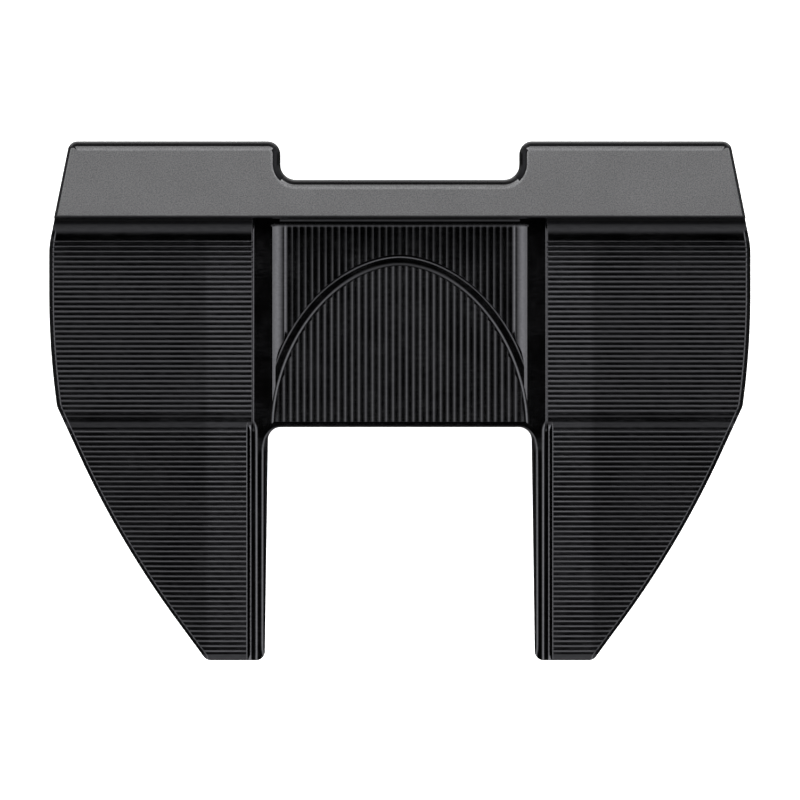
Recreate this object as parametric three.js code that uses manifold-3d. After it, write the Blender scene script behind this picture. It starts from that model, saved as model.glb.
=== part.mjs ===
// Fang-shaped mallet putter head: one milled aluminium block with a ball-wide gap between its two
// fangs and a high topline bar along the face, and the insert, sole plate and ballast fitted to it.
// Millimetres. +X to the toe, +Y out of the striking face, +Z up, and the sole stands on Z = 0.
import * as THREE from 'three';
import { mergeVertices } from 'three/addons/utils/BufferGeometryUtils.js';
import Module from 'manifold-3d';

const wasm = await Module();
wasm.setup();

// ---- driving dimensions ----

const headDepth = 82.16;              // face edge to fang tails
const faceY = headDepth / 2;
const tailY = -headDepth / 2;
const faceHalfWidth = 52.2;           // at the face edge
const wingHalfWidth = 55.55;          // widest, across the wings
const edgeRadius = 1.25;              // rounded upper and lower edges of the block

const topZ = 25;                      // topline
const wallY = 28.93;                   // rear wall of the topline bar
const railZ = 12;                     // land round the pocket
const railFillet = 0.8;               // bar wall into the rail
const wingZ = 11.2;                   // milled wing field
const wingFillet = 3.3;               // bar wall into the wing field
const railHalfWidth = 23.1;           // the rail reaches from here to the pocket

const landY = -2;                     // rear edge of the wing, where the step down to the fang starts
const fangY = -4.6;                   // front edge of the fang field
const fangFrontZ = 10.4;
const fangTailZ = 8;
const fangRailRise = 0.7;             // rail along the gap, above the fang field

const notch = { halfWidth: 18.93, floorY: 35 };                   // recess in the face
const gap = { halfWidthFront: 20.87, halfWidthTail: 21.46, frontY: -4.14 };

const pocket = { halfWidth: 20.4, frontY: 28.1, rearY: -3.2, floorZ: 10.2, coveRadius: 2.05 };
const arch = { footY: -3.9, exponent: 1.87, crestZ: 11.3, floorFrontZ: 10.3, floorRearZ: 10.55 };
const archOuterEdge = { halfWidth: 21.6, length: 27.1 };
const archInnerEdge = { halfWidth: 20.1, length: 25.4 };

const clearance = 0.3;                // between a fitted piece and its seat

const insert = { halfWidth: 15.5, lowZ: 4, highZ: 20.5, corner: 3, thickness: 2.4, padThickness: 0.8 };
const solePlate = { halfWidth: 31.5, frontY: 28.5, rearY: 0.5, corner: 4, thickness: 3 };
const soleScrew = { headRadius: 2.8, headZ: 0.3, neckZ: 1.9, radius: 1.5, length: 6, socketRadius: 1.1 };
const soleScrewX = [-26.5, 0, 26.5];
const soleScrewY = [24, 5];
const frontWeight = { x: 43, y: 27.5, capRadius: 8.5, capDepth: 3, radius: 6.5, length: 8.2, socketRadius: 3 };
const tailWeight = { x: 30.6, y: -26.5, capRadius: 6.5, capDepth: 1.8, radius: 4.7, length: 5.6, socketRadius: 2.3 };
const ringThickness = 0.8;
const weightSegments = 32;
const screwSegments = 20;

// ---- finishes ----

const finish = {
  anodised: { color: 0x0c0c0d, roughness: 0.28, metalness: 0.6 },
  brushedSteel: { color: 0x8f9092, roughness: 0.35, metalness: 1 },
  blackSteel: { color: 0x1b1b1c, roughness: 0.4, metalness: 0.9 },
  tungsten: { color: 0x6e6e70, roughness: 0.3, metalness: 1 },
  rubber: { color: 0x111111, roughness: 0.9, metalness: 0 },
  insertMetal: { color: 0x2a2a2c, roughness: 0.45, metalness: 0.8 },
};

// ---- solids ----

// A three.js geometry as a solid that can be joined and cut.
function solidOf(geometry) {
  geometry.deleteAttribute('normal');
  geometry.deleteAttribute('uv');
  const merged = mergeVertices(geometry, 1e-4);
  return new wasm.Manifold(new wasm.Mesh({
    numProp: 3,
    vertProperties: new Float32Array(merged.attributes.position.array),
    triVerts: new Uint32Array(merged.index.array),
  }));
}

function geometryOf(solid) {
  const { vertProperties, triVerts } = solid.getMesh();
  const geometry = new THREE.BufferGeometry();
  geometry.setAttribute('position', new THREE.BufferAttribute(vertProperties, 3));
  geometry.setIndex(new THREE.BufferAttribute(triVerts, 1));
  geometry.computeVertexNormals();
  return geometry;
}

// A closed outline through corners [x, y, radius], each one rounded by its radius.
function roundedShape(corners) {
  const shape = new THREE.Shape();
  corners.forEach(([x, y, radius = 0], i) => {
    const corner = new THREE.Vector2(x, y);
    const [beforeX, beforeY] = corners.at(i - 1);
    const [afterX, afterY] = corners[(i + 1) % corners.length];
    const before = new THREE.Vector2(beforeX, beforeY).sub(corner).normalize();
    const after = new THREE.Vector2(afterX, afterY).sub(corner).normalize();
    const halfAngle = Math.acos(before.dot(after)) / 2;
    const start = corner.clone().addScaledVector(before, radius / Math.tan(halfAngle));
    if (i === 0) shape.moveTo(start.x, start.y);
    else shape.lineTo(start.x, start.y);
    if (radius === 0) return;
    const end = corner.clone().addScaledVector(after, radius / Math.tan(halfAngle));
    const inward = before.clone().add(after).normalize();
    const centre = corner.clone().addScaledVector(inward, radius / Math.sin(halfAngle));
    const startAngle = start.sub(centre).angle();
    const endAngle = end.sub(centre).angle();
    shape.absarc(centre.x, centre.y, radius, startAngle, endAngle, before.cross(after) > 0);
  });
  shape.closePath();
  return shape;
}

// All corners of a left-right symmetric outline, from those on its +X side listed front to rear.
function mirrored(half) {
  return [...half, ...half.map(([x, y, radius]) => [-x, y, radius]).reverse()];
}

function rectangle(lowX, lowY, highX, highY, corner = 0) {
  return roundedShape([[lowX, lowY, corner], [highX, lowY, corner], [highX, highY, corner], [lowX, highY, corner]]);
}

// An outline seen from above, raised from one height to another.
function upright(shape, lowZ, highZ, edge = 0) {
  const geometry = new THREE.ExtrudeGeometry(shape, {
    depth: highZ - lowZ - 2 * edge,
    bevelEnabled: edge > 0,
    bevelThickness: edge,
    bevelSize: edge,
    bevelOffset: -edge,
    bevelSegments: 2,
    curveSegments: 5,
  });
  geometry.translate(0, 0, lowZ + edge);
  return solidOf(geometry);
}

// An outline in Y and Z, run along X.
function alongX(shape, lowX, highX) {
  const geometry = new THREE.ExtrudeGeometry(shape, { depth: highX - lowX, bevelEnabled: false, curveSegments: 5 });
  geometry.rotateX(Math.PI / 2);
  geometry.rotateZ(Math.PI / 2);
  geometry.translate(lowX, 0, 0);
  return solidOf(geometry);
}

// An outline in X and Z, run along Y.
function alongY(shape, lowY, highY) {
  const geometry = new THREE.ExtrudeGeometry(shape, { depth: highY - lowY, bevelEnabled: false, curveSegments: 5 });
  geometry.rotateX(Math.PI / 2);
  geometry.translate(0, highY, 0);
  return solidOf(geometry);
}

// A round piece from its profile of [radius, z] points, listed from the lower axis end upwards.
function turned(profile, x, y, segments) {
  const geometry = new THREE.LatheGeometry(profile.map(([radius, z]) => new THREE.Vector2(radius, z)), segments);
  geometry.rotateX(Math.PI / 2);
  geometry.translate(x, y, 0);
  return solidOf(geometry);
}

// ---- outlines ----

function headOutline() {
  return roundedShape(mirrored([
    [notch.halfWidth, notch.floorY, 2.5],
    [notch.halfWidth, faceY, 1.95],
    [faceHalfWidth, faceY, 1.5],
    [wingHalfWidth, 24.6, 12],
    [wingHalfWidth, 9, 130],
    [54.33, -0.8, 3],
    [44.4, -22.4, 150],
    [30.66, tailY, 1.4],
    [gap.halfWidthTail, tailY, 1.4],
    [gap.halfWidthFront, gap.frontY, 2.05],
  ]));
}

// Half a superellipse, closed along its foot line: one edge of the arch seen from above.
function archOutline({ halfWidth, length }) {
  const steps = 36;
  const shape = new THREE.Shape();
  for (let i = 0; i <= steps; i++) {
    const angle = Math.PI * i / steps;
    const across = Math.abs(Math.cos(angle)) ** (2 / arch.exponent) * Math.sign(Math.cos(angle));
    const along = Math.abs(Math.sin(angle)) ** (2 / arch.exponent);
    if (i === 0) shape.moveTo(halfWidth, arch.footY);
    else shape.lineTo(halfWidth * across, arch.footY + length * along);
  }
  shape.closePath();
  return shape;
}

// The space above a surface that runs back from the bar's wall at floorZ, steps down to the fang
// and slopes to the tail. It meets the wall in a fillet.
function spaceAbove(floorZ, fangRise, fillet) {
  const behindTail = tailY - 5;
  const above = topZ + 5;
  const slope = (fangFrontZ - fangTailZ) / (fangY - tailY);
  const shape = new THREE.Shape();
  shape.moveTo(behindTail, above);
  shape.lineTo(behindTail, fangTailZ + fangRise - slope * (tailY - behindTail));
  shape.lineTo(fangY, fangFrontZ + fangRise);
  shape.lineTo(landY, floorZ);
  shape.lineTo(wallY - fillet, floorZ);
  shape.absarc(wallY - fillet, floorZ + fillet, fillet, -Math.PI / 2, 0, false);
  shape.lineTo(wallY, above);
  shape.closePath();
  return shape;
}

// ---- the milled head ----

function wingAndRailCut() {
  const outside = wingHalfWidth + 5;
  const overlap = 1;
  const field = spaceAbove(wingZ, 0, wingFillet);
  const rail = spaceAbove(railZ, fangRailRise, railFillet);
  return alongX(rail, -railHalfWidth - overlap, railHalfWidth + overlap)
    .add(alongX(field, railHalfWidth, outside))
    .add(alongX(field, -outside, -railHalfWidth));
}

function pocketCut() {
  const { halfWidth, frontY, rearY, floorZ, coveRadius } = pocket;
  const above = railZ + 1;
  const flat = halfWidth - coveRadius;
  const section = new THREE.Shape();
  section.moveTo(-halfWidth, above);
  section.lineTo(-halfWidth, floorZ + coveRadius);
  section.absarc(-flat, floorZ + coveRadius, coveRadius, Math.PI, 1.5 * Math.PI, false);
  section.lineTo(flat, floorZ);
  section.absarc(flat, floorZ + coveRadius, coveRadius, -Math.PI / 2, 0, false);
  section.lineTo(halfWidth, above);
  section.closePath();
  return alongY(section, rearY, frontY);
}

// Left standing in the pocket: the arch ridge and the floor inside it, which rises to the rear.
function archIsland() {
  const { halfWidth, rearY, floorZ } = pocket;
  const { crestZ, floorFrontZ, floorRearZ, footY } = arch;
  const outer = upright(archOutline(archOuterEdge), floorZ - 1, crestZ);
  const apexY = footY + archInnerEdge.length;
  const above = new THREE.Shape();
  above.moveTo(rearY, floorRearZ);
  above.lineTo(apexY + 1, floorFrontZ);
  above.lineTo(apexY + 1, railZ + 1);
  above.lineTo(rearY, railZ + 1);
  above.closePath();
  const inside = upright(archOutline(archInnerEdge), floorZ, railZ + 1);
  const hollow = inside.intersect(alongX(above, -halfWidth - 1, halfWidth + 1));
  return outer.subtract(hollow);
}

function insertSeat() {
  const { halfWidth, lowZ, highZ, corner, thickness, padThickness } = insert;
  const seat = rectangle(
    -halfWidth - clearance, lowZ - clearance, halfWidth + clearance, highZ + clearance, corner + clearance);
  return alongY(seat, notch.floorY - thickness - padThickness - 2 * clearance, notch.floorY + 1);
}

function solePlateSeat() {
  const { halfWidth, frontY, rearY, corner, thickness } = solePlate;
  const x = halfWidth + clearance;
  return upright(rectangle(-x, rearY - clearance, x, frontY + clearance, corner + clearance), -1, thickness + clearance);
}

function soleScrewBore(x, y) {
  const radius = soleScrew.radius + clearance;
  return turned([[0, -1], [radius, -1], [radius, soleScrew.length + 1], [0, soleScrew.length + 1]], x, y, screwSegments);
}

function weightSeat({ capRadius, capDepth, radius, length }, x, y) {
  const cap = capRadius + clearance;
  const shank = radius + clearance;
  const seatZ = clearance + capDepth + clearance + ringThickness + clearance;
  const endZ = clearance + length + clearance;
  return turned([[0, -1], [cap, -1], [cap, seatZ], [shank, seatZ], [shank, endZ], [0, endZ]], x, y, weightSegments);
}

function headBody() {
  const block = upright(headOutline(), 0, topZ, edgeRadius)
    .subtract(wingAndRailCut())
    .subtract(pocketCut().subtract(archIsland()))
    .subtract(insertSeat())
    .subtract(solePlateSeat());
  const bores = [];
  for (const y of soleScrewY) for (const x of soleScrewX) bores.push(soleScrewBore(x, y));
  for (const side of [-1, 1]) {
    bores.push(weightSeat(frontWeight, side * frontWeight.x, frontWeight.y));
    bores.push(weightSeat(tailWeight, side * tailWeight.x, tailWeight.y));
  }
  return bores.reduce((solid, bore) => solid.subtract(bore), block);
}

// ---- pieces fitted to the head ----

function insertPlate() {
  const { halfWidth, lowZ, highZ, corner, thickness } = insert;
  return alongY(rectangle(-halfWidth, lowZ, halfWidth, highZ, corner), notch.floorY - thickness, notch.floorY);
}

function insertPad() {
  const { halfWidth, lowZ, highZ, corner, thickness, padThickness } = insert;
  const frontY = notch.floorY - thickness - clearance;
  return alongY(rectangle(-halfWidth, lowZ, halfWidth, highZ, corner), frontY - padThickness, frontY);
}

function screwHead(x, y, gapAround = 0) {
  const { headRadius, headZ, neckZ, radius } = soleScrew;
  const head = headRadius + gapAround;
  const neck = radius + gapAround;
  const lowZ = gapAround > 0 ? -1 : headZ;
  return turned([[0, lowZ], [head, lowZ], [head, headZ], [neck, neckZ], [neck, 4], [0, 4]], x, y, screwSegments);
}

function solePlateSolid() {
  const { halfWidth, frontY, rearY, corner, thickness } = solePlate;
  let solid = upright(rectangle(-halfWidth, rearY, halfWidth, frontY, corner), 0, thickness, 0.3);
  for (const y of soleScrewY) for (const x of soleScrewX) solid = solid.subtract(screwHead(x, y, clearance));
  return solid;
}

// A hexagonal wrench socket, open downwards.
function hexSocket(radius, topOfSocket, x, y) {
  return turned([[0, -1], [radius, -1], [radius, topOfSocket], [0, topOfSocket]], x, y, 6);
}

function soleScrewSolid(x, y) {
  const { radius, length, headZ, socketRadius } = soleScrew;
  const shank = turned([[0, 1], [radius, 1], [radius, headZ + length], [0, headZ + length]], x, y, screwSegments);
  return screwHead(x, y).add(shank).subtract(hexSocket(socketRadius, headZ + 1.1, x, y));
}

function weightSolid({ capRadius, capDepth, radius, length, socketRadius }, x, y) {
  const lowZ = clearance;
  const capZ = lowZ + capDepth;
  const chamfer = 0.4;
  return turned([
    [0, lowZ], [capRadius - chamfer, lowZ], [capRadius, lowZ + chamfer], [capRadius, capZ],
    [radius, capZ], [radius, lowZ + length], [0, lowZ + length],
  ], x, y, weightSegments).subtract(hexSocket(socketRadius, capZ, x, y));
}

function ringSolid({ capRadius, capDepth, radius }, x, y) {
  const lowZ = 2 * clearance + capDepth;
  const highZ = lowZ + ringThickness;
  const inner = radius + clearance;
  const disc = turned([[0, lowZ], [capRadius, lowZ], [capRadius, highZ], [0, highZ]], x, y, weightSegments);
  return disc.subtract(turned([[0, 0], [inner, 0], [inner, highZ + 1], [0, highZ + 1]], x, y, weightSegments));
}

// ---- the head as a scene ----

const head = new THREE.Group();

function addPiece(name, solid, look) {
  const mesh = new THREE.Mesh(geometryOf(solid), new THREE.MeshStandardMaterial(look));
  mesh.name = name;
  head.add(mesh);
}

addPiece('head_body', headBody(), finish.anodised);
addPiece('face_insert', insertPlate(), finish.insertMetal);
addPiece('face_insert_pad', insertPad(), finish.rubber);
addPiece('sole_plate', solePlateSolid(), finish.brushedSteel);

let screwNumber = 0;
for (const y of soleScrewY) {
  for (const x of soleScrewX) {
    screwNumber += 1;
    addPiece(`sole_plate_screw_${screwNumber}`, soleScrewSolid(x, y), finish.blackSteel);
  }
}

for (const [sideName, side] of [['heel', -1], ['toe', 1]]) {
  for (const [place, weight] of [['front', frontWeight], ['tail', tailWeight]]) {
    const x = side * weight.x;
    addPiece(`${sideName}_${place}_weight`, weightSolid(weight, x, weight.y), finish.tungsten);
    addPiece(`${sideName}_${place}_weight_ring`, ringSolid(weight, x, weight.y), finish.rubber);
  }
}

export default head;
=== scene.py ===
# Mallet putter head. The milled body, the insert, the sole plate, the screws and the weights are rebuilt
# at full detail around the loaded frame. Lengths are in millimetres until a mesh is made.
from math import acos, atan2, ceil, cos, pi, sin, sqrt, tan

import bmesh
import bpy
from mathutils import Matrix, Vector


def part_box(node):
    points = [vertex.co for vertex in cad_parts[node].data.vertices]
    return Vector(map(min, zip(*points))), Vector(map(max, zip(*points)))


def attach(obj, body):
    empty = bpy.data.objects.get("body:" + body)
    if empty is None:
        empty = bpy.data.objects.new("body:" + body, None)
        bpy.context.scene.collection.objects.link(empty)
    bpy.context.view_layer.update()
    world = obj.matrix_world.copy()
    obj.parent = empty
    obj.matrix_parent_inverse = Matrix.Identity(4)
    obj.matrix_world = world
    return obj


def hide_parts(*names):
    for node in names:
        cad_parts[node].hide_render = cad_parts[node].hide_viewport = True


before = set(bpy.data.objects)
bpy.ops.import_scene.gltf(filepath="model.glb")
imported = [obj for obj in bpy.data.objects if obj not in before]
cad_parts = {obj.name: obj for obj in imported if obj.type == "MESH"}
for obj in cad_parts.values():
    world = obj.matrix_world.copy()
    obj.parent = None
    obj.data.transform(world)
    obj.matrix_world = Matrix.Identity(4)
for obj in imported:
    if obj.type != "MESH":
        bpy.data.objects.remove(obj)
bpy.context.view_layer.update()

mm = 0.001
scene = bpy.context.scene


def boxOf(node):
    return [Vector(corner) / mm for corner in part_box(node)]


headLow, headHigh = boxOf("head_body")
faceY = headHigh.y
tailY = headLow.y
topZ = headHigh.z
print("frame loaded: the head measures", [round(side, 1) for side in headHigh - headLow], "mm")


# ---- making meshes ----

def newPiece(name, points, faces):
    mesh = bpy.data.meshes.new(name)
    mesh.from_pydata([[value * mm for value in point] for point in points], [], faces)
    piece = bpy.data.objects.new(name, mesh)
    scene.collection.objects.link(piece)
    return piece


def outward(piece):
    # Turns every face to look out of the closed shell.
    shell = bmesh.new()
    shell.from_mesh(piece.data)
    bmesh.ops.recalc_face_normals(shell, faces=shell.faces)
    if shell.calc_volume(signed=True) < 0:
        bmesh.ops.reverse_faces(shell, faces=shell.faces)
    shell.to_mesh(piece.data)
    shell.free()
    return piece


def loft(name, rings):
    # Skins closed rings of equal length in order, and caps the first and the last.
    count = len(rings[0])
    points = [point for ring in rings for point in ring]
    faces = [tuple(reversed(range(count))), tuple(range(len(points) - count, len(points)))]
    for start in range(0, len(points) - count, count):
        for i in range(count):
            after = (i + 1) % count
            faces.append((start + i, start + after, start + count + after, start + count + i))
    return outward(newPiece(name, points, faces))


def spaceAbove(name, rows, capZ):
    # Everything between a grid of points and a flat lid at capZ, as one closed solid.
    width = len(rows[0])
    points = [point for row in rows for point in row]
    faces = []
    for start in range(0, len(points) - width, width):
        for i in range(start, start + width - 1):
            faces.append((i, i + 1, i + width + 1, i + width))
    last = len(points) - width
    rim = list(range(width)) + list(range(2 * width - 1, last, width))
    rim += list(range(len(points) - 1, last - 1, -1)) + list(range(last - width, 0, -width))
    base = len(points)
    points += [(points[i][0], points[i][1], capZ) for i in rim]
    for k in range(len(rim)):
        after = (k + 1) % len(rim)
        faces.append((rim[k], rim[after], base + after, base + k))
    faces.append(tuple(range(base, base + len(rim))))
    return outward(newPiece(name, points, faces))


def turned(name, profile, x, y, segments=96):
    # A round piece about a vertical axis, from (radius, z) points. The first and last are flat ends.
    rings = []
    for radius, z in profile:
        ring = []
        for k in range(segments):
            angle = 2 * pi * k / segments
            ring.append((x + radius * cos(angle), y + radius * sin(angle), z))
        rings.append(ring)
    return loft(name, rings)


def ringSolid(name, profile, x, y, segments=96):
    # A turned piece with a hole: the (radius, z) profile closes on itself.
    points = []
    faces = []
    count = len(profile)
    for k in range(segments):
        angle = 2 * pi * k / segments
        points += [(x + radius * cos(angle), y + radius * sin(angle), z) for radius, z in profile]
        for i in range(count):
            a = k * count + i
            b = k * count + (i + 1) % count
            beyond = count * (segments - 1) if k == segments - 1 else -count
            faces.append((a, b, b - beyond, a - beyond))
    return outward(newPiece(name, points, faces))


def combine(target, others, operation):
    # Applies one boolean per other piece, and removes the others.
    for other in others:
        step = target.modifiers.new(other.name, "BOOLEAN")
        step.operation = operation
        step.solver = "MANIFOLD"
        step.object = other
    bpy.context.view_layer.update()
    evaluated = target.evaluated_get(bpy.context.evaluated_depsgraph_get())
    result = bpy.data.meshes.new_from_object(evaluated)
    target.modifiers.clear()
    target.data = result
    for other in others:
        bpy.data.objects.remove(other)
    print("  ", target.name, operation.lower(), len(result.polygons), "faces")


# ---- outlines, listed clockwise as seen from above ----

arcError = 0.003  # how far a straight step may leave its arc


def roundedOutline(corners):
    # Corners are (x, y, radius), and each becomes an arc.
    outline = []
    for i, (x, y, radius) in enumerate(corners):
        corner = Vector((x, y))
        if radius == 0:
            outline.append(corner)
            continue
        before = (Vector(corners[i - 1][:2]) - corner).normalized()
        after = (Vector(corners[(i + 1) % len(corners)][:2]) - corner).normalized()
        half = before.angle(after) / 2
        centre = corner + (before + after).normalized() * radius / sin(half)
        start = corner + before * radius / tan(half) - centre
        end = corner + after * radius / tan(half) - centre
        turn = atan2(start.x * end.y - start.y * end.x, start.dot(end))
        steps = max(2, ceil(abs(turn) / (2 * acos(1 - arcError / radius))))
        for k in range(steps + 1):
            angle = atan2(start.y, start.x) + turn * k / steps
            outline.append(centre + radius * Vector((cos(angle), sin(angle))))
    return outline


def mirrored(half):
    return half + [(-x, y, radius) for x, y, radius in reversed(half)]


def rectangle(low, high, corner):
    return roundedOutline([
        (low[0], high[1], corner), (high[0], high[1], corner),
        (high[0], low[1], corner), (low[0], low[1], corner),
    ])


def outwardNormals(outline):
    normals = []
    for i, point in enumerate(outline):
        before = (point - outline[i - 1]).normalized()
        after = (outline[(i + 1) % len(outline)] - point).normalized()
        along = (before + after).normalized()
        normals.append(Vector((-along.y, along.x)))
    return normals


def slab(name, outline, lowZ, highZ, lowEdge=0, highEdge=0, steps=4):
    # An outline raised between two heights, with its lower and upper edges rounded.
    normals = outwardNormals(outline)
    levels = []
    for k in range(steps + 1):
        angle = pi / 2 * k / steps
        if lowEdge > 0 or k == steps:
            levels.append((lowEdge * (1 - sin(angle)), lowZ + lowEdge * (1 - cos(angle))))
    for k in range(steps + 1):
        angle = pi / 2 * k / steps
        if highEdge > 0 or k == 0:
            levels.append((highEdge * (1 - cos(angle)), highZ - highEdge * (1 - sin(angle))))
    rings = []
    for inset, z in levels:
        rings.append([(p.x - n.x * inset, p.y - n.y * inset, z) for p, n in zip(outline, normals)])
    return loft(name, rings)


def smooth(low, high, value):
    # An eased share from 0 at low to 1 at high.
    share = min(1, max(0, (value - low) / (high - low)))
    return share * share * (3 - 2 * share)


# ---- the head's block ----

head = dict(
    faceHalfWidth=52.2,
    notchHalfWidth=18.93,
    notchY=35,
    gapHalfWidthFront=20.87,
    gapHalfWidthTail=21.4,
    gapY=-4.14,
    gapDraftFront=0.62,   # how far the gap's walls lean back by the time they reach the rail
    gapDraftTail=0.2,
    draftTopZ=11,
    toplineEdge=1.6,      # rounding of the topline along the face
    endEdge=0.6,          # and at the bar's two ends
    soleEdge=1.25,
)


def headOutline():
    return roundedOutline(mirrored([
        (head["notchHalfWidth"], head["notchY"], 2.5),
        (head["notchHalfWidth"], faceY, 1.95),
        (head["faceHalfWidth"], faceY, 1.5),
        (headHigh.x, 24.6, 12),
        (headHigh.x, 9, 130),
        (54.33, -0.8, 3),
        (44.4, -22.4, 150),
        (30.66, tailY, 1.4),
        (head["gapHalfWidthTail"], tailY, 1.4),
        (head["gapHalfWidthFront"], head["gapY"], 2.05),
    ]))


outline = headOutline()


def edgeX(y):
    # The toe-side edge of the head at this depth.
    y = min(faceY - 2, max(tailY + 0.5, y))
    found = 0
    for i, b in enumerate(outline):
        a = outline[i - 1]
        if a.y != b.y and min(a.y, b.y) <= y <= max(a.y, b.y):
            found = max(found, a.x + (b.x - a.x) * (y - a.y) / (b.y - a.y))
    return found


def gapDraft(point):
    # Only the gap's two side walls lean.
    if abs(point.x) > 23 or point.y > -3:
        return 0
    back = (head["gapY"] - point.y) / (head["gapY"] - tailY)
    depth = head["gapDraftFront"] + (head["gapDraftTail"] - head["gapDraftFront"]) * back
    return depth * smooth(-3.5, -8, point.y) * (1 - smooth(-39, -40.6, point.y))


def headBlock():
    normals = outwardNormals(outline)
    levels = []
    steps = 6
    for k in range(steps + 1):
        angle = pi / 2 * k / steps
        levels.append((head["soleEdge"], 1 - sin(angle), head["soleEdge"] * (1 - cos(angle))))
    levels.append((0, 0, head["draftTopZ"]))
    for k in range(steps + 1):
        angle = pi / 2 * k / steps
        levels.append((None, 1 - cos(angle), 1 - sin(angle)))
    rings = []
    for radius, inward, z in levels:
        ring = []
        for p, n in zip(outline, normals):
            edge = radius
            height = z
            if radius is None:
                facing = 1 if abs(p.x) < 30 else smooth(0.3, 0.9, n.y)
                edge = head["endEdge"] + (head["toplineEdge"] - head["endEdge"]) * facing
                height = topZ - edge * z
            climbed = (height - head["soleEdge"]) / (head["draftTopZ"] - head["soleEdge"])
            lean = gapDraft(p) * min(1, max(0, climbed))
            side = 1 if p.x > 0 else -1
            ring.append((p.x - n.x * edge * inward + side * lean, p.y - n.y * edge * inward, height))
        rings.append(ring)
    return loft("milledHead", rings)


# ---- the milled top ----

wing = dict(
    wallY=28.93,          # rear wall of the topline bar
    wallEdge=0.55,        # rounding at the top of that wall
    filletRadius=3.3,
    troughZ=11.2,
    firstCuspY=25.04,
    pitch=0.787,
    rows=34,
    ballRadius=1.27,      # the ball cutter that left the rows
    innerX=23.26,         # the rows stop here against the rail
    endLength=0.2,        # each row ends in a scoop this long
    rimWidth=0.52,        # rim left standing along the outline
    rimLength=0.3,        # and the rows' climb up to it
    rimZ=11.75,
    rimLift=0.3,
    rimStand=0.06,        # the rim stands this much over the top of that climb
)
rail = dict(
    z=12,
    halfWidth=21.4,
    edge=0.28,            # rounding along the wing: how wide, how deep
    edgeDrop=0.17,
    wallFillet=0.7,
    dipStartY=-3.9,
    dipEndY=-9,
    gapEdge=0.3,          # rounding over the gap at its front, and how much wider along the fangs
    gapEdgeGrowth=0.17,
)
land = dict(
    startY=-1.72,
    endY=-4.55,
    blendStartY=-3.1,     # the flat rail turns into the fang's ridge and groove between these
    blendEndY=-4.9,
)
fang = dict(
    frontZ=10.5,          # troughs beside the land, and at the tail
    tailZ=7.9,
    firstCuspY=-4.92,
    pitch=0.7905,
    rows=45,
    ballRadius=1.45,
    innerX=24.12,
    ridgeX=23.55,         # thin ridge between the rows and the rail's groove
    ridgeRise=0.42,
    ridgeHalfWidth=0.12,
    ridgeSlope=0.9,
    grooveRise=0.12,
    endShare=0.8,         # the rows' ends climb this share of the ridge
    railOuterX=23.0,      # rounded rail along the gap
    railRise=0.85,
    railEdge=0.6,
    rimLift=0.26,
    tailBevel=0.95,       # bevel along the tail: how long, how steep
    tailSlope=0.47,
)
samplesPerRow = 8


def ballHeight(distance, radius):
    # Height above the lowest point of a ball, this far from its axis.
    return radius - sqrt(max(0, radius * radius - distance * distance))


def rowHeight(y, field):
    # The field's rows begin half a row before the first cusp.
    share = ((field["firstCuspY"] - y) / field["pitch"]) % 1
    return ballHeight(abs(share - 0.5) * field["pitch"], field["ballRadius"])


def rowsStart(field):
    return field["firstCuspY"] + field["pitch"] / 2


def fangPlane(y):
    return fang["frontZ"] + (fang["tailZ"] - fang["frontZ"]) * (land["endY"] - y) / (land["endY"] - tailY)


def wingHeight(y):
    # Troughs and cusps behind the wall's fillet.
    filletY = wing["wallY"] - wing["filletRadius"]
    if y > filletY:
        return wing["troughZ"] + ballHeight(y - filletY, wing["filletRadius"])
    if y > rowsStart(wing):
        return wing["troughZ"]
    return wing["troughZ"] + rowHeight(y, wing)


# Two small steps lead from the wing down to the fang: (y, z).
landSteps = [(-1.72, 11.26), (-1.95, 11.2), (-2.12, 11.2), (-2.3, 11.16), (-2.5, 11.06), (-2.7, 11.01),
             (-3.15, 11.0), (-3.35, 10.95), (-3.8, 10.76), (-4.15, 10.61), (-4.35, 10.56), (-4.55, 10.54)]


def landHeight(y):
    for (aY, aZ), (bY, bZ) in zip(landSteps, landSteps[1:]):
        if aY >= y >= bY:
            return aZ + (bZ - aZ) * (aY - y) / (aY - bY)
    return landSteps[0][1] if y > aY else landSteps[-1][1]


def fieldHeight(y):
    if y >= land["startY"]:
        return wingHeight(y)
    if y >= land["endY"]:
        return landHeight(y)
    bevelY = tailY + fang["tailBevel"]
    if y < bevelY:
        return fangPlane(bevelY) + 0.04 - (bevelY - y) * fang["tailSlope"]
    return fangPlane(y) + rowHeight(y, fang)


def scoop(distance, length):
    # Share of the climb up a row's ball-shaped end: 0 at its start, 1 at the wall.
    share = min(1, max(0, distance / length))
    return 1 - sqrt(1 - share * share)


def railTop(y):
    # The flat rail beside the pocket dips to the rounded rail along the gap.
    low = fangPlane(y) + fang["railRise"]
    return rail["z"] + (low - rail["z"]) * smooth(rail["dipStartY"], rail["dipEndY"], y)


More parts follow.
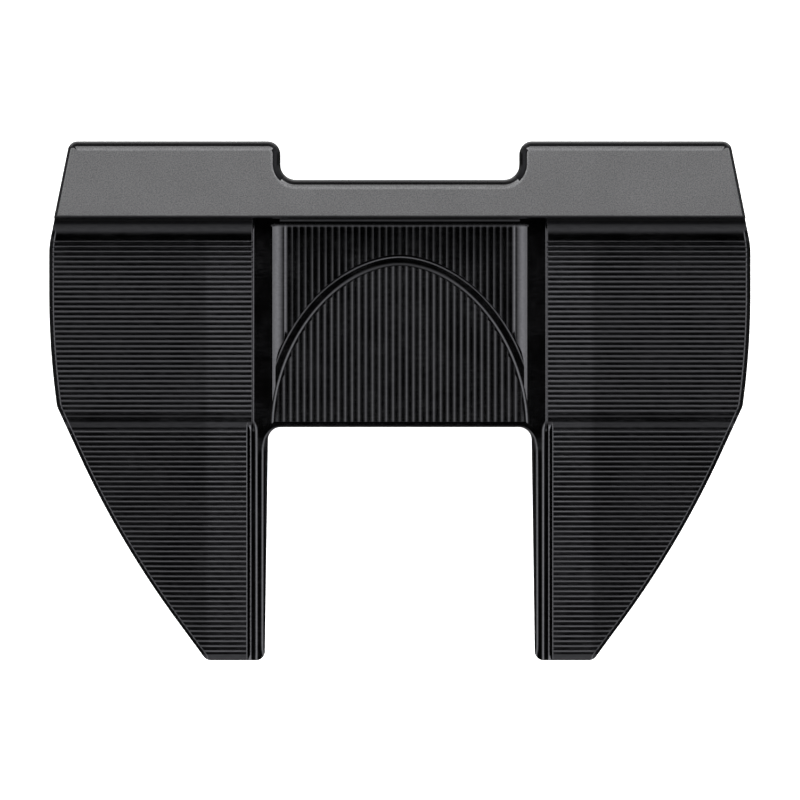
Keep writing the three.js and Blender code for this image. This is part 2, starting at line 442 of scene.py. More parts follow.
def railHeight(x, y):
    # Between the gap and the milled field.
    top = railTop(y)
    onFang = smooth(land["blendStartY"], land["blendEndY"], y)
    field = fieldHeight(y)
    wingSide = top - rail["edgeDrop"] * scoop(x - wing["innerX"] + rail["edge"], rail["edge"])
    if x > wing["innerX"]:
        climb = wing["rimZ"] - wing["troughZ"]
        wingSide = field + climb * scoop(wing["innerX"] + wing["endLength"] - x, wing["endLength"])
    if onFang == 0:
        return wingSide
    plane = fangPlane(y)
    outer = fang["railOuterX"]
    edge = fang["railEdge"]
    if x <= outer:
        fangSide = top - ballHeight(min(edge, max(0, x - outer + edge)), edge)
    elif x <= fang["ridgeX"] - fang["ridgeHalfWidth"]:
        fangSide = plane + fang["grooveRise"]
    elif x <= fang["innerX"] - 0.02:
        fangSide = plane + fang["ridgeRise"] - abs(x - fang["ridgeX"]) * fang["ridgeSlope"]
    else:
        climb = fang["ridgeRise"] * fang["endShare"]
        fangSide = field + climb * scoop(fang["innerX"] + wing["endLength"] - x, wing["endLength"])
    return wingSide + (fangSide - wingSide) * onFang


def across(low, high, steps):
    return [low + (high - low) * k / steps for k in range(steps + 1)]


def spaced(places, least):
    # Sorted, without places closer together than least.
    places = sorted(places)
    kept = [places[0]]
    for place in places[1:]:
        if place - kept[-1] > least:
            kept.append(place)
    return kept


def railStations():
    # X places from the gap to where the rows are level.
    outer = fang["railOuterX"]
    ridge = fang["ridgeX"]
    half = fang["ridgeHalfWidth"]
    stations = [19, 21.2] + across(outer - fang["railEdge"] - 0.35, outer, 12)
    stations += across(wing["innerX"] - rail["edge"], wing["innerX"], 5)
    stations += [wing["innerX"] + 0.01, outer + 0.01, ridge - half - 0.01, ridge - half + 0.01, ridge]
    stations.append(fang["innerX"] - 0.03)
    for k in range(9):
        turn = pi / 2 * k / 8
        stations.append(wing["innerX"] + wing["endLength"] * cos(turn))
        stations.append(fang["innerX"] + wing["endLength"] * (1 - sin(turn)))
    return spaced(stations, 0.008)


def depthStations():
    # Y places from the bar's wall to behind the tail, with the cusps among them.
    filletY = wing["wallY"] - wing["filletRadius"]
    bevelY = tailY + fang["tailBevel"]
    places = [filletY + wing["filletRadius"] * sin(pi / 2 * k / 16) for k in range(17)]
    half = samplesPerRow // 2
    places += [wing["firstCuspY"] - wing["pitch"] * k / samplesPerRow
               for k in range(-half, wing["rows"] * samplesPerRow)]
    places += across(land["startY"], land["endY"], 26) + [y for y, z in landSteps]
    places += [fang["firstCuspY"] - fang["pitch"] * k / samplesPerRow
               for k in range(-half, fang["rows"] * samplesPerRow)]
    places += [bevelY, bevelY - 0.01, tailY, tailY - 2]
    return [-place for place in spaced([-place for place in places], 0.006)]


rimEdge = 0.07  # rounding of the rim at the outline


def outerStations():
    # Distances in from the outline, across the rim and down the rows' outer ends.
    rim = wing["rimWidth"]
    scoops = [rim + wing["rimLength"] * (1 - sin(pi / 2 * k / 8)) for k in range(9)]
    edge = [rimEdge * (1 - sin(pi / 2 * k / 5)) for k in range(6)]
    return sorted(scoops + edge + [-2, rim - 0.01, rim - 0.02], reverse=True)


def rimHeight(inset, y):
    # Height at this distance in from the outline.
    field = fieldHeight(y)
    onFang = smooth(-1, -3, y)
    lift = wing["rimLift"] * (1 - onFang) + fang["rimLift"] * onFang
    rim = wing["rimWidth"]
    if y > wing["firstCuspY"]:
        lift *= 1 - smooth(wing["firstCuspY"], wing["firstCuspY"] + 2.5, y)
    climbed = scoop(rim + wing["rimLength"] - inset, wing["rimLength"])
    height = field + lift * climbed
    if inset < rim:
        level = field - rowOffset(y) + lift + wing["rimStand"]
        outside = min(rimEdge, max(0, rimEdge - inset))
        height = level - ballHeight(outside, rimEdge)
    return height


def rowOffset(y):
    # How far the row pattern stands above its troughs here.
    if rowsStart(wing) > y > land["startY"]:
        return rowHeight(y, wing)
    if land["endY"] > y > tailY + fang["tailBevel"]:
        return rowHeight(y, fang)
    return 0


def topCutter(side):
    inner = railStations()
    insets = outerStations()
    rows = []
    for y in depthStations():
        edge = edgeX(y)
        row = [(x, railHeight(x, y)) for x in inner]
        first = inner[-1]
        last = edge - insets[0]
        for k in range(1, 4):
            row.append((first + (last - first) * k / 4, fieldHeight(y)))
        row += [(edge - inset, rimHeight(inset, y)) for inset in insets]
        rows.append([(side * x, y, z) for x, z in row])
    return spaceAbove("topCutter", rows, topZ + 5)


def wallRounding():
    # Rounds the top of the bar's rear wall.
    edge = wing["wallEdge"]
    wallY = wing["wallY"]
    section = [(wallY - 1, topZ + 1), (wallY - 1, topZ - edge), (wallY, topZ - edge)]
    for k in range(1, 6):
        angle = pi / 2 * k / 5
        section.append((wallY + edge * (1 - cos(angle)), topZ - edge * (1 - sin(angle))))
    section.append((wallY + edge, topZ + 1))
    beyond = 60  # past both ends of the bar
    return loft("wallRounding", [[(x, y, z) for y, z in section] for x in (-beyond, beyond)])


def centreCutter():
    # Takes the space over the pocket down to the rail, with a small fillet at the wall.
    rows = []
    reach = rail["halfWidth"]
    fillet = rail["wallFillet"]
    for k in range(7):
        angle = pi / 2 * (1 - k / 6)
        y = wing["wallY"] - fillet + fillet * sin(angle)
        z = rail["z"] + fillet * (1 - cos(angle))
        rows.append([(-reach, y, z), (reach, y, z)])
    for y in across(rail["dipStartY"], rail["dipEndY"], 16):
        rows.append([(-reach, y, railTop(y)), (reach, y, railTop(y))])
    return spaceAbove("centreCutter", rows, topZ + 5)


def gapPath():
    # Runs from the toe tail round the gap's front to the heel tail, along the top of its walls.
    corners = roundedOutline([
        (head["gapHalfWidthTail"], tailY - 3, 0),
        (head["gapHalfWidthFront"], head["gapY"], 2.05),
        (-head["gapHalfWidthFront"], head["gapY"], 2.05),
        (-head["gapHalfWidthTail"], tailY - 3, 0),
    ])
    path = []
    for a, b in zip(corners, corners[1:]):
        steps = ceil((b - a).length / 0.8)
        path += [a.lerp(b, k / steps) for k in range(steps)]
    return path + [corners[-1]]


def gapRounding():
    # Rounds the rail's edge over the gap, wider along the fangs than at the front.
    path = gapPath()
    rings = []
    for i, point in enumerate(path):
        along = (path[min(i + 1, len(path) - 1)] - path[max(0, i - 1)]).normalized()
        intoMetal = Vector((along.y, -along.x))
        side = 1 if point.x > 0 else -1
        wall = point + Vector((side * gapDraft(point), 0))
        edge = rail["gapEdge"] + rail["gapEdgeGrowth"] * smooth(-5, -8, point.y)
        top = railTop(point.y)
        section = [(-1, 2), (-1, -edge), (0, -edge)]
        for k in range(1, 7):
            angle = pi / 2 * k / 6
            section.append((edge * (1 - cos(angle)), -edge * (1 - sin(angle))))
        section.append((edge + 0.02, 2))
        rings.append([(wall.x + intoMetal.x * u, wall.y + intoMetal.y * u, top + v) for u, v in section])
    return loft("gapRounding", rings)


# ---- the pocket ----

pocket = dict(
    halfWidth=20.4,
    frontY=28.1,
    rearY=-3.25,
    floorZ=10.66,
    coveFootX=18,          # lowest place of the cove along the pocket's sides
    coveRadius=2.65,
    coveBendX=19.46,       # the cove straightens beyond here
    coveOuterRadius=4,
    coveLift=0.19,
    firstPassX=17.6,       # the cutter pass beside the cove, rounder on its outer side
    firstPassOuter=1.2,
    firstPassInner=2.6,
    lines=16,              # cusps on each side of the centre line
    crown=0.01,            # the floor falls away to each side by this slope
    frontFillet=0.7,
    pitch=1.0657,
    innerPitch=1.0804,
    ballRadius=2.3,        # behind settledY
    frontBallRadius=2.9,   # the passes are flatter beside the wall, in front of flatterY
    settledY=21,
    flatterY=26,
    innerBallRadius=1.75,
    lean=0.35,             # each line's lowest place, from its outer cusp; its inner side climbs higher
    innerLean=0.42,        # the same inside the arch
    cuspShift=0.11,        # the lines stand this much nearer the centre than their count
)
arch = dict(
    footY=-3.9,
    exponent=1.87,
    crestZ=11.3,
    outerHalfWidth=21.6,
    outerLength=27.1,
    innerHalfWidth=19.88,
    innerLength=25.3,
    floorFrontZ=10.45,
    floorRearZ=10.7,
    outerEdge=(0.6, 0.24),   # the ridge's rounded edges: how far in, how far down
    innerEdge=(0.95, 0.5),
    legShare=0.62,           # the edges narrow to this share down the legs
)


def lineHeight(x, pitch, lean, radius):
    # Each pass climbs towards the centre and ends in a tiny step.
    share = ((abs(x) + pocket["cuspShift"]) / pitch) % 1
    return ballHeight((1 - share - lean) * pitch, radius)


def lineStations(pitch, lines):
    # X places from the centre outwards, with two at each step.
    half = [0]
    for line in range(lines):
        for k in range(samplesPerRow + 1):
            x = (line + min(0.996, max(0.004, k / samplesPerRow))) * pitch - pocket["cuspShift"]
            if x > 0:
                half.append(x)
    return half


def coveHeight(x):
    # Two arcs that share a tangent at the bend.
    foot = pocket["coveFootX"]
    bend = pocket["coveBendX"]
    inner = pocket["coveRadius"]
    outer = pocket["coveOuterRadius"]
    if x < bend:
        return ballHeight(max(0, x - foot), inner)
    start = (bend - foot) * outer / inner
    return ballHeight(bend - foot, inner) + ballHeight(start + x - bend, outer) - ballHeight(start, outer)


def pocketHeight(x, y):
    # Lined floor, then one broader pass, then a cove up to the pocket's edge.
    lastCusp = pocket["lines"] * pocket["pitch"] - pocket["cuspShift"]
    floor = pocket["floorZ"] - pocket["crown"] * min(abs(x), lastCusp)
    if abs(x) < lastCusp:
        nearWall = smooth(pocket["settledY"], pocket["flatterY"], y)
        radius = pocket["ballRadius"] + (pocket["frontBallRadius"] - pocket["ballRadius"]) * nearWall
        return floor + lineHeight(x, pocket["pitch"], pocket["lean"], radius)
    beyond = abs(x) - pocket["firstPassX"]
    firstPass = ballHeight(beyond, pocket["firstPassOuter"] if beyond > 0 else pocket["firstPassInner"])
    return floor + min(firstPass, coveHeight(abs(x)) + pocket["coveLift"])


def pocketCutter():
    lastCusp = pocket["lines"] * pocket["pitch"] - pocket["cuspShift"]
    half = lineStations(pocket["pitch"], pocket["lines"])
    half += across(lastCusp + 0.004, pocket["halfWidth"], 44)
    stations = [-x for x in reversed(half[1:])] + half
    rows = []
    fillet = pocket["frontFillet"]
    ends = [pocket["frontY"] - fillet * (1 - sin(pi / 2 * k / 10)) for k in range(10, -1, -1)]
    for y in ends + across(pocket["flatterY"], pocket["settledY"], 5) + [pocket["rearY"]]:
        climb = ballHeight(max(0, y - pocket["frontY"] + fillet), fillet)
        rows.append([(x, y, pocketHeight(x, y) + climb) for x in stations])
    return spaceAbove("pocketCutter", rows, rail["z"] + 3)


def archOutline(halfWidth, length, grow=0):
    # Half a superellipse on its foot line, pushed outwards by grow. Its legs run on behind the foot.
    steps = 120
    points = []
    for k in range(steps + 1):
        angle = pi * (1 - k / steps)
        side = 1 if cos(angle) > 0 else -1
        x = halfWidth * side * abs(cos(angle)) ** (2 / arch["exponent"])
        y = arch["footY"] + length * abs(sin(angle)) ** (2 / arch["exponent"])
        points.append(Vector((x, y)))
    pushed = []
    for i, point in enumerate(points):
        before = points[max(0, i - 1)]
        after = points[min(steps, i + 1)]
        along = (after - before).normalized()
        atApex = smooth(0.75, 1, (point.y - arch["footY"]) / length)
        broad = arch["legShare"] + (1 - arch["legShare"]) * atApex
        pushed.append(point + grow * broad * Vector((-along.y, along.x)))
    legsY = pocket["rearY"] - 0.3
    return [Vector((p.x, max(p.y, legsY))) for p in pushed]


def archPlug():
    # The raised ridge, filled in, with a softly rounded outer edge.
    inset, drop = arch["outerEdge"]
    levels = [(0, pocket["floorZ"] - 1)]
    for k in range(9):
        angle = pi / 2 * k / 8
        levels.append((-inset * (1 - cos(angle)), arch["crestZ"] - drop * (1 - sin(angle))))
    rings = []
    for grow, z in levels:
        around = archOutline(arch["outerHalfWidth"], arch["outerLength"], grow)
        rings.append([(p.x, p.y, z) for p in around])
    return loft("archPlug", rings)


def archHollow():
    # What is taken out inside the ridge: a rising floor with its own lines, and a rounded upper edge.
    inset, drop = arch["innerEdge"]
    levels = [(0, pocket["floorZ"] - 0.5), (0, arch["crestZ"] - drop)]
    for k in range(1, 11):
        angle = pi / 2 * k / 10
        levels.append((inset * (1 - cos(angle)), arch["crestZ"] - drop * (1 - sin(angle))))
    levels.append((inset + 0.02, arch["crestZ"] + 0.8))
    rings = []
    for grow, z in levels:
        around = archOutline(arch["innerHalfWidth"], arch["innerLength"], grow)
        around = [Vector((p.x, max(p.y, pocket["rearY"] - 0.5 * grow))) for p in around]
        rings.append([(p.x, p.y, z) for p in around])
    hollow = loft("archHollow", rings)
    apexY = arch["footY"] + arch["innerLength"]
    half = lineStations(pocket["innerPitch"], ceil(arch["innerHalfWidth"] / pocket["innerPitch"]) + 1)
    stations = [-x for x in reversed(half[1:])] + half
    rows = []
    for y in (apexY + 2, pocket["rearY"] - 2):
        rise = (arch["floorRearZ"] - arch["floorFrontZ"]) * (apexY - y) / (apexY - pocket["rearY"])
        row = []
        for x in stations:
            lines = lineHeight(x, pocket["innerPitch"], pocket["innerLean"], pocket["innerBallRadius"])
            row.append((x, y, arch["floorFrontZ"] + rise - pocket["crown"] * abs(x) + lines))
        rows.append(row)
    combine(hollow, [spaceAbove("archFloor", rows, rail["z"] + 3)], "INTERSECT")
    return hollow


# ---- seats on the underside ----

seatGap = 0.3
insertCorner = 3
screw = dict(headRadius=2.8, neckRadius=1.5, threadDepth=0.16, pitch=0.5, socketRadius=1.1, boreRadius=1.8)
plate = dict(corner=4, lowEdge=0.35, highEdge=0.15)
screwNodes = ["sole_plate_screw_" + str(k) for k in range(1, 7)]
weightSizes = {}
for end in ("heel", "toe"):
    weightSizes[end + "_front_weight"] = dict(shank=6.5, capDepth=3, socketRadius=3, edge=0.6)
    weightSizes[end + "_tail_weight"] = dict(shank=4.7, capDepth=1.8, socketRadius=2.3, edge=0.5)


def grown(node):
    low, high = boxOf(node)
    spread = Vector((seatGap, seatGap, seatGap))
    return low - spread, high + spread


def insertSeat():
    # The seat in the face, sunk along Y behind the insert and its pad.
    low, high = grown("face_insert")
    padLow, padHigh = grown("face_insert_pad")
    section = rectangle((low.x, low.z), (high.x, high.z), insertCorner + seatGap)
    return loft("insertSeat", [[(p.x, y, p.y) for p in section] for y in (padLow.y, high.y + 3)])


def plateSeat():
    low, high = grown("sole_plate")
    around = rectangle(low, high, plate["corner"] + seatGap)
    return loft("plateSeat", [[(p.x, p.y, z) for p in around] for z in (-1, high.z)])


def weightSeat(weight, ring):
    low, high = grown(weight)
    ringLow, ringHigh = grown(ring)
    x, y = (low.x + high.x) / 2, (low.y + high.y) / 2
    capRadius = (ringHigh.x - ringLow.x) / 2
    shankRadius = weightSizes[weight]["shank"] + seatGap
    edge = 0.35
    profile = [
        (capRadius + edge + 0.6, -0.6), (capRadius + edge, 0), (capRadius, edge),
        (capRadius, ringHigh.z), (shankRadius, ringHigh.z), (shankRadius, high.z),
    ]
    return turned(weight + "Seat", profile, x, y)


def screwBore(node):
    low, high = grown(node)
    x, y = (low.x + high.x) / 2, (low.y + high.y) / 2
    radius = screw["boreRadius"]
    return turned(node + "Bore", [(radius, -1), (radius, high.z + 0.7)], x, y, 32)


# ---- materials ----

def linear(hexColour):
    channels = []
    for k in (1, 3, 5):
        value = int(hexColour[k:k + 2], 16) / 255
        channels.append(value / 12.92 if value <= 0.04045 else ((value + 0.055) / 1.055) ** 2.4)
    return (*channels, 1)


def addNode(tree, kind, links=(), **settings):
    # Adds a node; links maps its inputs to another node's output, settings are its own values.
    node = tree.nodes.new(kind)
    for key, value in settings.items():
        setattr(node, key, value)
    for socket, source in dict(links).items():
        if isinstance(source, bpy.types.NodeSocket):
            tree.links.new(source, node.inputs[socket])
        else:
            node.inputs[socket].default_value = source
    return node


def newMaterial(name):
    material = bpy.data.materials.new(name)
    material.use_nodes = True
    tree = material.node_tree
    shader = tree.nodes["Principled BSDF"]
    return material, tree, shader


def ramp(tree, source, stops):
    node = addNode(tree, "ShaderNodeValToRGB", {"Fac": source})
    elements = node.color_ramp.elements
    while len(elements) < len(stops):
        elements.new(0.5)
    for element, (position, value) in zip(elements, stops):
        element.position = position
        element.color = linear(value) if isinstance(value, str) else (value, value, value, 1)
    return node.outputs["Color"]


def metalFinish(name, colour, colourAlt, roughness, grain, bump, stretch=(1, 1, 1), spread=0.04):
    # A metal whose colour, roughness and height all vary with fine grain. grain is in mm.
    material, tree, shader = newMaterial(name)
    place = addNode(tree, "ShaderNodeTexCoord").outputs["Object"]
    perMetre = [value / mm for value in stretch]
    mapping = addNode(tree, "ShaderNodeMapping", {"Vector": place, "Scale": perMetre})
    fineInputs = {"Vector": mapping.outputs["Vector"], "Scale": 1 / grain, "Detail": 3.0, "Roughness": 0.6}
    fine = addNode(tree, "ShaderNodeTexNoise", fineInputs).outputs["Fac"]
    broadInputs = {"Vector": place, "Scale": 1 / (6 * mm), "Detail": 2.0}
    broad = addNode(tree, "ShaderNodeTexNoise", broadInputs).outputs["Fac"]
    mixed = addNode(tree, "ShaderNodeMath", {0: fine, 1: broad}, operation="MULTIPLY").outputs[0]
    tint = ramp(tree, fine, [(0.35, colour), (0.65, colourAlt)])
    dullness = ramp(tree, mixed, [(0.15, roughness - spread), (0.4, roughness + spread)])
    tree.links.new(tint, shader.inputs["Base Color"])
    tree.links.new(dullness, shader.inputs["Roughness"])
    shader.inputs["Metallic"].default_value = 1
    if bump:
        lift = addNode(tree, "ShaderNodeBump", {"Height": fine, "Distance": bump * mm, "Strength": 1.0})
        tree.links.new(lift.outputs["Normal"], shader.inputs["Normal"])
    return material


def paintedReflectionInside(material, reach, gain):
    # Painted reflection: the rows within reach mm of the centre line get a brighter colour than those
    # outside it, standing in for a brighter reflection of the light there.
    tree = material.node_tree
    shader = tree.nodes["Principled BSDF"]
    colour = shader.inputs["Base Color"].links[0].from_socket
    place = addNode(tree, "ShaderNodeTexCoord").outputs["Object"]
    x = addNode(tree, "ShaderNodeSeparateXYZ", {"Vector": place}).outputs["X"]
    away = addNode(tree, "ShaderNodeMath", {0: x}, operation="ABSOLUTE").outputs[0]
    fade = {"From Min": (reach - 0.4) * mm, "From Max": (reach + 0.4) * mm, "To Min": gain, "To Max": 1.0}
    scale = addNode(tree, "ShaderNodeMapRange", {"Value": away, **fade}).outputs["Result"]
    brighter = addNode(tree, "ShaderNodeVectorMath", {"Vector": colour, "Scale": scale}, operation="SCALE")
    tree.links.new(brighter.outputs["Vector"], shader.inputs["Base Color"])


alongX = (0.25, 1, 1)

# Anodised 6061 aluminium left as the cutter finished it: near black, with tight bright reflections on edges.
milledBlack = metalFinish("anodised_aluminium_milled", "#333335", "#3a3a3c", 0.165, 0.3, 0.0006, alongX)

# The rows left by the ball cutter are a touch duller than the flats, so their troughs never go fully black.
rowsBlack = metalFinish("anodised_aluminium_rows", "#2f2f31", "#363638", 0.22, 0.3, 0.0006, alongX)
# Painted reflection: the rows within 30.6 mm of the centre line are coloured 1.4 times brighter.
paintedReflectionInside(rowsBlack, 30.6, 1.4)

# The same metal bead blasted before anodising: satin, so the topline stays a quiet grey with a fine sparkle.
# Real beads leave 0.05 mm pits; they are drawn at 0.18 mm so that they show.
blastName = "anodised_aluminium_blasted"
blastedBlack = metalFinish(blastName, "#646465", "#848485", 0.42, 0.18, 0.004, spread=0.015)

# Side walls and sole, lightly blasted: darker than the topline.
sideBlack = metalFinish("anodised_aluminium_satin", "#1a1a1b", "#232324", 0.3, 0.2, 0.001)

# Painted shade on the rounded edges at the topline's ends and notch: smoother than the blasted top, and
# coloured darker to draw a thin, deep black line round the grey.
paintedShadeEdge = metalFinish("anodised_aluminium_edge_painted_shade", "#0f0f10", "#141415", 0.25, 0.2, 0.0005)

# Brushed 304 steel sole plate: long fine scratches that stretch its highlights across the brushing.
brushedSteel = metalFinish("stainless_steel_brushed", "#8a8b8d", "#a3a4a6", 0.34, 0.2, 0.0015, (0.02, 1, 1))

# Steel screws in black oxide: a dull sheen that sets them off from the bright plate.
blackSteel = metalFinish("steel_black_oxide", "#2a2a2b", "#3a3a3b", 0.38, 0.15, 0.001)

# Turned tungsten alloy weights: a plain grey, brighter than the head.
turnedTungsten = metalFinish("tungsten_turned", "#77777a", "#8a8a8d", 0.28, 0.25, 0.001)

# The insert, milled and hard anodised: slightly rougher than the body.
milledInsert = metalFinish("aluminium_insert_milled", "#48484b", "#555558", 0.36, 0.2, 0.001)


def dampingRubber():
    # Moulded nitrile rubber: matt black that only greys at a glancing angle.
    material, tree, shader = newMaterial("nitrile_rubber_moulded")
    place = addNode(tree, "ShaderNodeTexCoord").outputs["Object"]
    fine = addNode(tree, "ShaderNodeTexNoise", {"Vector": place, "Scale": 1 / (0.4 * mm), "Detail": 2.0})
    tint = ramp(tree, fine.outputs["Fac"], [(0.3, "#141414"), (0.7, "#1d1d1d")])
    tree.links.new(tint, shader.inputs["Base Color"])
    shader.inputs["Roughness"].default_value = 0.75
    shader.inputs["IOR"].default_value = 1.52
    return material


rubber = dampingRubber()


# ---- the head ----

def finishPiece(piece, node, materials):
    piece.name = node + "_detailed"
    piece.data.name = piece.name
    piece.data.materials.clear()
    for material in materials:
        piece.data.materials.append(material)
    piece.data.shade_smooth()
    piece.data.set_sharp_from_angle(angle=25 * pi / 180)
    weighted = piece.modifiers.new("evenShading", "WEIGHTED_NORMAL")
    weighted.keep_sharp = True
    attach(piece, "root")
    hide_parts(node)


headFinishes = [milledBlack, blastedBlack, sideBlack, paintedShadeEdge, rowsBlack]


def isOuterEdge(centre):
    return -2 < centre.y < 27 and abs(centre.x) > edgeX(centre.y) - 0.3


def finishOf(centre, normal):
    # Which finish a face of the head has, from where it lies and how it faces.
    wallY = wing["wallY"]
    # Painted shade: the rounded edges at the topline's ends and notch take the darker edge colour.
    if centre.z > topZ - 1.5 and abs(normal.x) > max(0.15, abs(normal.y)):
        return paintedShadeEdge
    if centre.z > topZ - 0.9 and normal.z > 0.9:
        return blastedBlack
    if centre.z > 16 and wallY < centre.y < wallY + wing["wallEdge"]:
        return milledBlack
    if centre.z > 16 or normal.z < 0.1 or isOuterEdge(centre):
        return sideBlack
    rowsInnerX = wing["innerX"] + wing["endLength"]
    if abs(centre.x) > rowsInnerX and centre.y < rowsStart(wing) and centre.z > 7:
        return rowsBlack
    return milledBlack


def milledHead():
    body = headBlock()
    combine(body, [topCutter(1)], "DIFFERENCE")
    combine(body, [topCutter(-1)], "DIFFERENCE")
    combine(body, [centreCutter(), wallRounding(), gapRounding()], "DIFFERENCE")
    combine(body, [pocketCutter()], "DIFFERENCE")
    combine(body, [archPlug()], "UNION")
    combine(body, [archHollow()], "DIFFERENCE")
    seats = [insertSeat(), plateSeat()]
    seats += [weightSeat(weight, weight + "_ring") for weight in weightSizes]
    seats += [screwBore(node) for node in screwNodes]
    combine(body, seats, "DIFFERENCE")
    finishPiece(body, "head_body", headFinishes)
    for face in body.data.polygons:
        face.material_index = headFinishes.index(finishOf(face.center / mm, face.normal))


milledHead()
print("head made")


# ---- pieces fitted to the head ----

def roundBox(node):
    # Middle, lowest and highest z, and radius of a round piece.
    low, high = boxOf(node)
    return (low.x + high.x) / 2, (low.y + high.y) / 2, low.z, high.z, (high.x - low.x) / 2


def hexagon(radius, x, y, lowZ, highZ):
    corners = [Vector((x + radius * sin(pi / 3 * k), y + radius * cos(pi / 3 * k))) for k in range(6)]
    return loft("socket", [[(p.x, p.y, z) for p in corners] for z in (lowZ, highZ)])


def roundedStep(outer, z, radius, steps=5):
    # A quarter round from a vertical side at outer to a flat face at z.
    points = []
    for k in range(steps + 1):
        angle = pi / 2 * k / steps
        points.append((outer - radius * (1 - cos(angle)), z + radius * (1 - sin(angle))))
    return points


def weightPiece(node, sizes):
    # Turned cap with a dished, grooved face, a hex socket and a plain shank.
    x, y, lowZ, highZ, cap = roundBox(node)
    edge = sizes["edge"]
    shank = sizes["shank"]
    socket = sizes["socketRadius"]
    shoulderZ = lowZ + sizes["capDepth"]
    dishZ = lowZ + 0.25
    groove = cap - edge - 1.0
    grooveZ = lowZ + 0.22
    profile = [(0.05, dishZ), (socket + 0.8, dishZ), (socket + 1.0, lowZ + 0.1)]
    profile += [(groove - 0.25, lowZ), (groove - 0.15, grooveZ)]
    profile += [(groove + 0.15, grooveZ), (groove + 0.25, lowZ)]
    profile += list(reversed(roundedStep(cap, lowZ, edge)))
    profile += [(cap, shoulderZ - 0.15), (cap - 0.15, shoulderZ)]
    profile += [(shank + 0.2, shoulderZ), (shank, shoulderZ + 0.2)]
    profile += [(shank, highZ - 0.5), (shank - 0.5, highZ), (0.05, highZ)]
    piece = turned(node, profile, x, y)
    combine(piece, [hexagon(socket, x, y, lowZ - 1, lowZ + sizes["capDepth"] * 0.8)], "DIFFERENCE")
    finishPiece(piece, node, [turnedTungsten])


def ringPiece(node):
    # The moulded ring under a weight's cap, with rounded corners.
    x, y, lowZ, highZ, outer = roundBox(node)
    inner = outer - (1.8 if outer > 7.5 else 1.6)
    corner = (highZ - lowZ) * 0.3
    outer -= corner
    inner += corner
    topCorner = highZ - corner
    lowCorner = lowZ + corner
    profile = []
    centres = [(outer, topCorner), (inner, topCorner), (inner, lowCorner), (outer, lowCorner)]
    for quarter, (radius, z) in enumerate(centres):
        for k in range(5):
            angle = pi / 2 * (quarter + k / 4)
            profile.append((radius + corner * cos(angle), z + corner * sin(angle)))
    finishPiece(ringSolid(node, profile, x, y), node, [rubber])


def screwPiece(node):
    # Countersunk head with a hex socket, and a shank with its thread drawn as plain rings.
    x, y, lowZ, highZ, radius = roundBox(node)
    outer = screw["headRadius"]
    neck = screw["neckRadius"]
    pitch = screw["pitch"]
    profile = [(0.05, lowZ), (outer - 0.12, lowZ), (outer, lowZ + 0.12), (outer, lowZ + 0.25)]
    profile.append((neck, lowZ + 1.6))
    z = lowZ + 2.0
    while z + pitch < highZ - 0.2:
        profile += [(neck, z), (neck - screw["threadDepth"], z + pitch / 2)]
        z += pitch
    profile += [(neck, z), (neck - 0.3, highZ), (0.05, highZ)]
    piece = turned(node, profile, x, y, 48)
    combine(piece, [hexagon(screw["socketRadius"], x, y, lowZ - 1, lowZ + 1.2)], "DIFFERENCE")
    finishPiece(piece, node, [blackSteel])


def solePlatePiece():
    # Rounded below and above, with a countersunk hole for each screw.
    low, high = boxOf("sole_plate")
    around = rectangle(low, high, plate["corner"])
    body = slab("sole_plate", around, low.z, high.z, plate["lowEdge"], plate["highEdge"])
    bore = screw["boreRadius"]
    holeProfile = [(3.7, -0.6), (3.1, 0.0), (3.1, 0.55), (bore, 1.95), (bore, 4)]
    holes = []
    for node in screwNodes:
        x, y, lowZ, highZ, radius = roundBox(node)
        holes.append(turned(node + "Hole", holeProfile, x, y, 48))
    combine(body, holes, "DIFFERENCE")
    finishPiece(body, "sole_plate", [brushedSteel])


def alongFace(name, outline, frontY, backY, edge):
    # A plate that stands in the face: its outline is in X and Z, its front edge rounded.
    normals = outwardNormals(outline)
    rings = [[(p.x, backY, p.y) for p in outline]]
    for k in range(6):
        angle = pi / 2 * k / 5
        inset = edge * (1 - cos(angle))
        y = frontY - edge * (1 - sin(angle))
        rings.append([(p.x - n.x * inset, y, p.y - n.y * inset) for p, n in zip(outline, normals)])
    return loft(name, rings)


def standingPlate(node, edge):
    # One shape serves the insert and its pad.
    low, high = boxOf(node)
    section = rectangle((low.x, low.z), (high.x, high.z), insertCorner)
    return alongFace(node, section, high.y, low.y, edge)


def insertPiece():
    # The insert carries shallow rows milled across the face, which soften the strike.
    low, high = boxOf("face_insert")
    body = standingPlate("face_insert", 0.15)
    cuts = []
    pitch = 1.1
    half = 0.3
    depth = 0.14
    frontY = high.y
    reach = high.x - 1.2
    for k in range(int((high.z - low.z - 2) / pitch)):
        z = low.z + 1.2 + pitch * k
        groove = [
            (frontY + 1, z - half), (frontY, z - half), (frontY - depth * 0.8, z - half / 2),
            (frontY - depth, z),
            (frontY - depth * 0.8, z + half / 2), (frontY, z + half), (frontY + 1, z + half),
        ]
        ends = [[(x, y, height) for y, height in groove] for x in (-reach, reach)]
        cuts.append(loft("groove" + str(k), ends))
    combine(body, cuts, "DIFFERENCE")
    finishPiece(body, "face_insert", [milledInsert])


def padPiece():
    finishPiece(standingPlate("face_insert_pad", 0.1), "face_insert_pad", [rubber])


for weight, sizes in weightSizes.items():
    weightPiece(weight, sizes)
    ringPiece(weight + "_ring")
for node in screwNodes:
    screwPiece(node)
solePlatePiece()
insertPiece()
padPiece()
print("fitted pieces made")


# ---- stage ----

def floorMaterial():
    material, tree, shader = newMaterial("studio_floor_white")
    shader.inputs["Base Color"].default_value = linear("#ffffff")
    shader.inputs["Roughness"].default_value = 0.9
    shader.inputs["Emission Color"].default_value = linear("#ffffff")
    shader.inputs["Emission Strength"].default_value = 1.0
    return material


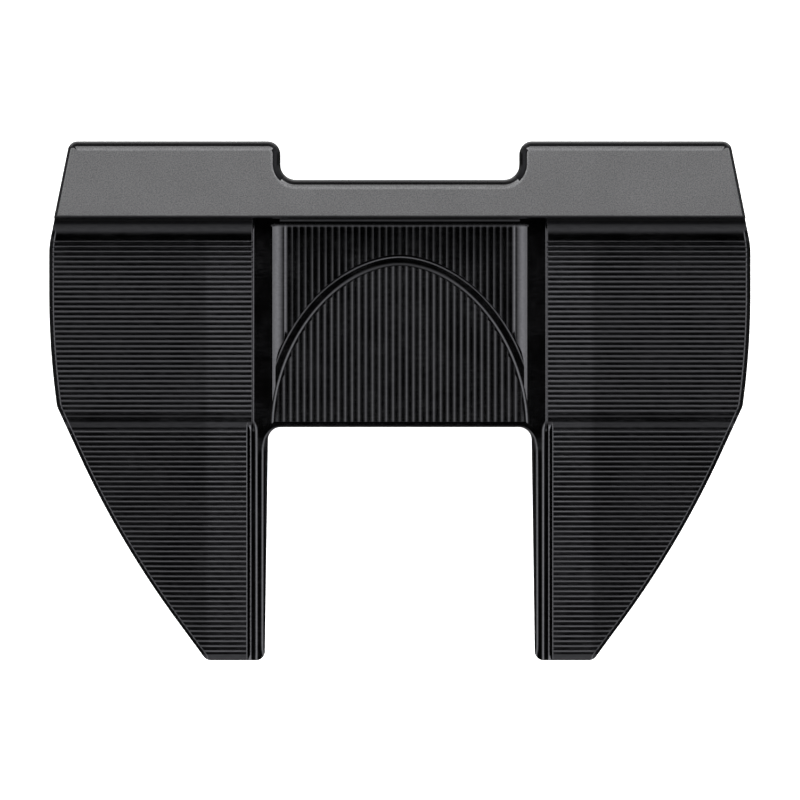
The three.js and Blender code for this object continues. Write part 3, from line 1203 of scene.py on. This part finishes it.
def makeFloor():
    # Just under the sole, and far wider than the frame.
    half = 4000
    z = -0.05
    corners = [(-half, -half, z), (half, -half, z), (half, half, z), (-half, half, z)]
    floor = newPiece("studioFloor", corners, [(0, 1, 2, 3)])
    floor.data.materials.append(floorMaterial())
    floor.visible_glossy = False  # as if black card kept it out of the metal's reflections
    floor.visible_shadow = False


light = dict(
    # radiance by angle off the vertical, 0 at the zenith and 1 straight down, for each side
    side=[
        (0.08, 0.0), (0.13, 0.12), (0.2, 0.46), (0.27, 0.72), (0.345, 0.94), (0.42, 0.82), (0.5, 0.66),
        (0.56, 0.48), (0.61, 0.24), (0.67, 0.1), (0.8, 0.0),
    ],
    front=[
        (0.05, 0.0), (0.065, 0.68), (0.09, 0.68), (0.12, 0.44), (0.15, 0.27), (0.2, 0.15), (0.28, 0.1),
        (0.36, 0.04), (0.5, 0.1), (0.6, 0.4), (0.7, 0.6), (0.85, 0.2),
    ],
    rear=[
        (0.14, 0.0), (0.18, 0.03), (0.22, 0.11), (0.28, 0.2), (0.33, 0.18), (0.41, 0.15), (0.47, 0.11),
        (0.52, 0.06), (0.6, 0.04), (0.68, 0.25), (0.78, 0.3), (0.9, 0.05),
    ],
    strength=5,
)


def maths(tree, operation, first, second=0.0):
    return addNode(tree, "ShaderNodeMath", {0: first, 1: second}, operation=operation).outputs[0]


def studioLight():
    # Softboxes left and right, one high beyond the face, a weak card behind; black overhead.
    world = bpy.data.worlds.new("studio")
    scene.world = world
    world.use_nodes = True
    tree = world.node_tree
    background = tree.nodes["Background"]
    direction = addNode(tree, "ShaderNodeTexCoord").outputs["Generated"]
    parts = addNode(tree, "ShaderNodeSeparateXYZ", {"Vector": direction}).outputs
    angle = maths(tree, "ARCCOSINE", parts["Z"])
    turn = maths(tree, "DIVIDE", angle, pi)
    xx = maths(tree, "MULTIPLY", parts["X"], parts["X"])
    yy = maths(tree, "MULTIPLY", parts["Y"], parts["Y"])
    level = maths(tree, "MAXIMUM", maths(tree, "ADD", xx, yy), 0.00001)
    sideShare = maths(tree, "DIVIDE", xx, level)
    otherShare = maths(tree, "DIVIDE", yy, level)
    isFront = maths(tree, "GREATER_THAN", parts["Y"], 0.0)
    isRear = maths(tree, "SUBTRACT", 1.0, isFront)
    frontShare = maths(tree, "MULTIPLY", otherShare, isFront)
    rearShare = maths(tree, "MULTIPLY", otherShare, isRear)
    fromSide = maths(tree, "MULTIPLY", ramp(tree, turn, light["side"]), sideShare)
    fromFront = maths(tree, "MULTIPLY", ramp(tree, turn, light["front"]), frontShare)
    fromRear = maths(tree, "MULTIPLY", ramp(tree, turn, light["rear"]), rearShare)
    total = maths(tree, "ADD", maths(tree, "ADD", fromSide, fromFront), fromRear)
    tree.links.new(maths(tree, "MULTIPLY", total, light["strength"]), background.inputs["Strength"])
    background.inputs["Color"].default_value = (1, 1, 1, 1)


camera = dict(
    distance=6000,
    frameWidth=126.4,     # what the frame spans at the topline
    aimX=0.03,
    aimY=0.17,
)


def makeCamera():
    # Straight down from far away, with the face at the top of the frame.
    data = bpy.data.cameras.new("overheadCamera")
    data.sensor_width = 36
    data.lens = 36 * camera["distance"] / camera["frameWidth"]
    data.clip_start = 0.5
    data.clip_end = 20
    shot = bpy.data.objects.new("overheadCamera", data)
    shot.location = [value * mm for value in (camera["aimX"], camera["aimY"], topZ + camera["distance"])]
    scene.collection.objects.link(shot)
    scene.camera = shot


makeFloor()
studioLight()
makeCamera()
scene.view_settings.view_transform = "Standard"
scene.view_settings.look = "None"
print("stage made")

print("finishing")
